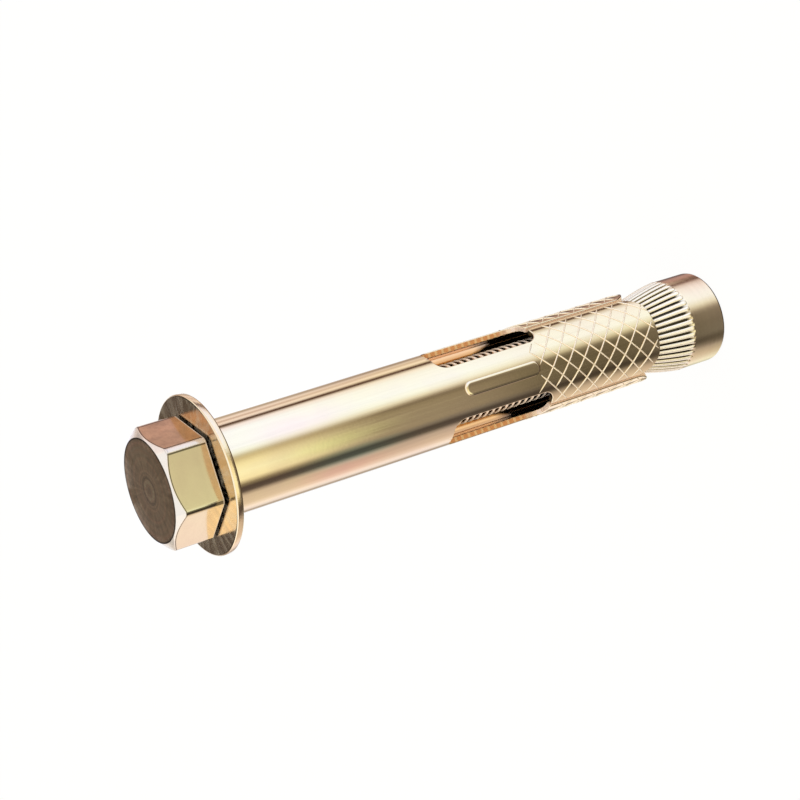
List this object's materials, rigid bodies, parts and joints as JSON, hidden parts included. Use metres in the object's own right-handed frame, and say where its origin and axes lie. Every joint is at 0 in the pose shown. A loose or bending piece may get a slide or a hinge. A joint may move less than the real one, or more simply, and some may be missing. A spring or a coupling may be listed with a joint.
{
  "type": "expansion bolt",
  "caption": "Steel expansion bolt for masonry: hexagon bolt and flat washer through a windowed, slotted sleeve with raised keys, drawn onto a ribbed cone nut",
  "frame": {"origin": "centre of the cone nut's flat end, on the surface that the anchor stands on", "axes": "+Z runs along the bolt from the cone nut to the hexagon head; -Y is the front, which one hexagon flat and one sleeve tongue face"},
  "size_m": [0.0194, 0.0194, 0.0815],
  "materials": {
    "bolt_plating": "yellow-passivated zinc plating, bright, with fine turning marks",
    "washer_plating": "yellow-passivated zinc plating, brushed faces and a bright rim",
    "sleeve_plating": "yellow-passivated zinc plating, bright, with faint drawing lines along the sleeve",
    "nut_plating": "yellow-passivated zinc plating, bright, with a reddish to gold iridescence"
  },
  "bodies": {
    "nut": {"cone_nut": "nut_plating"},
    "sleeve": {"sleeve": "sleeve_plating"},
    "bolt": {"hex_bolt": "bolt_plating"},
    "washer": {"washer": "washer_plating"}
  },
  "joints": [
    {"name": "sleeve_lift", "type": "slide", "parent": "nut", "child": "sleeve", "axis": [0, 0, 1], "range_m": [0, 0.01]},
    {"name": "bolt_turn", "type": "hinge", "parent": "sleeve", "child": "bolt", "pos_m": [0, 0, 0.0785], "axis": [0, 0, 1], "range_deg": [0, 3600]},
    {"name": "washer_spin", "type": "hinge", "parent": "bolt", "child": "washer", "pos_m": [0, 0, 0.07506], "axis": [0, 0, 1], "continuous": true}
  ],
  "couplings": [
    {"joint": "bolt_turn", "follows": "sleeve_lift", "rad_per_m": 6283.2}
  ]
}
